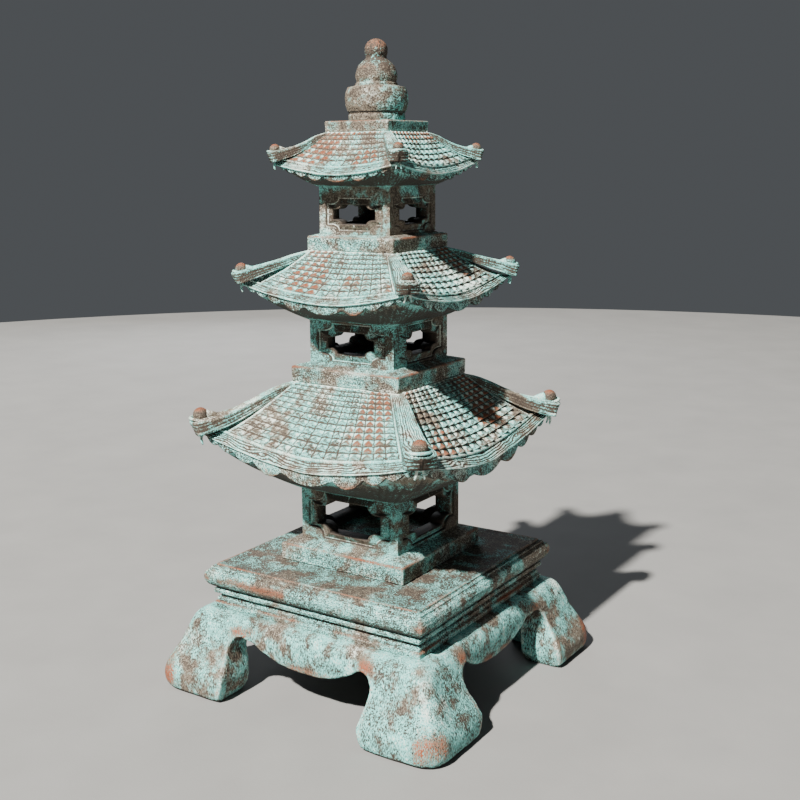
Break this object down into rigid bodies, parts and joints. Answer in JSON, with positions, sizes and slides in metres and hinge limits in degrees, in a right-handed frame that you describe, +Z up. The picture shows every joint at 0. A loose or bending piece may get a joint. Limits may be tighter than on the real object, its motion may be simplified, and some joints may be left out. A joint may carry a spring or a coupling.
{
  "type": "stone pagoda lantern",
  "caption": "Tiered pagoda garden lantern: flaring leg base, moulded plinth, windowed light boxes under upturned tiled roofs, turned finial. The stones lift apart.",
  "frame": {"origin": "centre of the footprint, on the ground the feet stand on", "axes": "+Z up along the stack's centre line, X and Y square to the four sides"},
  "size_m": [1.0124, 1.0124, 1.931],
  "materials": {
    "base_stone": "cast stone with a pale verdigris wash over dark brown, worn to copper orange on toes and arch crowns",
    "plinth_stone": "cast stone, verdigris and brown, orange worn mouldings",
    "box_stone": "cast stone, brushed verdigris over grey brown, orange worn arrises",
    "roof_stone": "cast stone tiles, pale verdigris on the lips and rust orange in the hollows",
    "ball_stone": "cast stone, brown bronze worn to copper orange on top",
    "finial_stone": "pebbled cast stone, grey bronze with a verdigris cast",
    "pin_steel": "plain galvanised"
  },
  "bodies": {
    "base": {"leg_base": "base_stone"},
    "plinth_block": {"plinth": "plinth_stone", "lower_locating_pins": "pin_steel"},
    "lower_house": {"lower_lantern_box": "box_stone"},
    "lower_canopy": {"lower_roof": "roof_stone", "lower_corner_balls": "ball_stone", "middle_locating_pins": "pin_steel"},
    "middle_house": {"middle_lantern_box": "box_stone"},
    "middle_canopy": {"middle_roof": "roof_stone", "middle_corner_balls": "ball_stone", "upper_locating_pins": "pin_steel"},
    "upper_house": {"upper_lantern_box": "box_stone"},
    "upper_canopy": {"upper_roof": "roof_stone", "upper_corner_balls": "ball_stone", "finial_rod": "pin_steel"},
    "cap_block": {"cap_slab": "box_stone"},
    "finial_block": {"finial": "finial_stone"}
  },
  "joints": [
    {"name": "plinth_block_lift", "type": "slide", "parent": "base", "child": "plinth_block", "axis": [0, 0, 1], "range_m": [0, 0.06]},
    {"name": "lower_house_lift", "type": "slide", "parent": "plinth_block", "child": "lower_house", "axis": [0, 0, 1], "range_m": [0, 0.08]},
    {"name": "lower_canopy_lift", "type": "slide", "parent": "lower_house", "child": "lower_canopy", "axis": [0, 0, 1], "range_m": [0, 0.1]},
    {"name": "middle_house_lift", "type": "slide", "parent": "lower_canopy", "child": "middle_house", "axis": [0, 0, 1], "range_m": [0, 0.08]},
    {"name": "middle_canopy_lift", "type": "slide", "parent": "middle_house", "child": "middle_canopy", "axis": [0, 0, 1], "range_m": [0, 0.08]},
    {"name": "upper_house_lift", "type": "slide", "parent": "middle_canopy", "child": "upper_house", "axis": [0, 0, 1], "range_m": [0, 0.08]},
    {"name": "upper_canopy_lift", "type": "slide", "parent": "upper_house", "child": "upper_canopy", "axis": [0, 0, 1], "range_m": [0, 0.08]},
    {"name": "cap_block_lift", "type": "slide", "parent": "upper_canopy", "child": "cap_block", "axis": [0, 0, 1], "range_m": [0, 0.12]},
    {"name": "finial_block_lift", "type": "slide", "parent": "cap_block", "child": "finial_block", "axis": [0, 0, 1], "range_m": [0, 0.1]}
  ]
}
